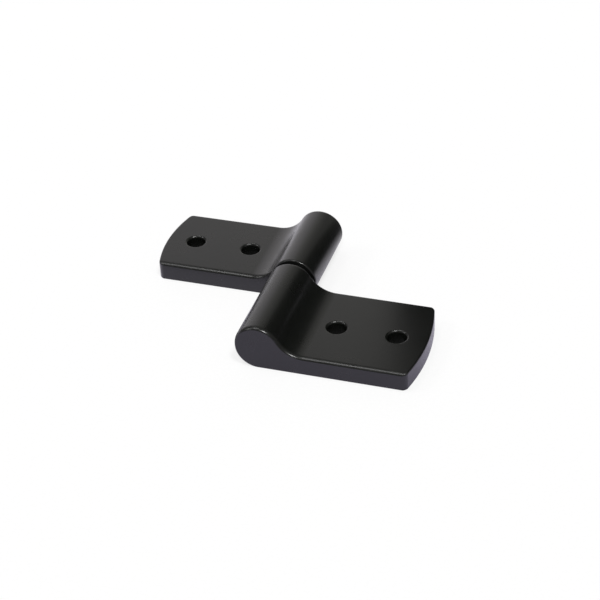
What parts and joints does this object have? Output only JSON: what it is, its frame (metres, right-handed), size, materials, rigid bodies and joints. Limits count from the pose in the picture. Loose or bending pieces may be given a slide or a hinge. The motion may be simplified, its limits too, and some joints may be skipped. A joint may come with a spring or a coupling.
{
  "type": "lift-off door hinge",
  "caption": "Lift-off flag hinge: two thick leaves with screw holes and full-round knuckles stacked on one hinge pin, opened flat, so the door leaf swings and lifts off.",
  "frame": {"origin": "on the mounting plane (the flat backs of both leaves), under the hinge pin and half way along the two knuckles", "axes": "+X along the frame leaf, away from the pin; +Y along the pin, the way the door leaf lifts off; +Z out of the mounting plane, towards the knuckles"},
  "size_m": [0.11, 0.076, 0.0165],
  "materials": {
    "leaf_coating": "satin black coating over cast metal",
    "pin_steel": "ground stainless steel",
    "bush_bronze": "sintered bronze",
    "washer_plastic": "black bearing plastic"
  },
  "bodies": {
    "frame_side": {"frame_leaf": "leaf_coating", "hinge_pin": "pin_steel"},
    "washer": {"thrust_washer": "washer_plastic"},
    "door_side": {"door_leaf": "leaf_coating", "bearing_bush": "bush_bronze"}
  },
  "joints": [
    {"name": "swing", "type": "hinge", "parent": "frame_side", "child": "washer", "pos_m": [0, 0, 0.00825], "axis": [0, 1, 0], "continuous": true},
    {"name": "lift_off", "type": "slide", "parent": "washer", "child": "door_side", "axis": [0, 1, 0], "range_m": [0, 0.03]}
  ]
}
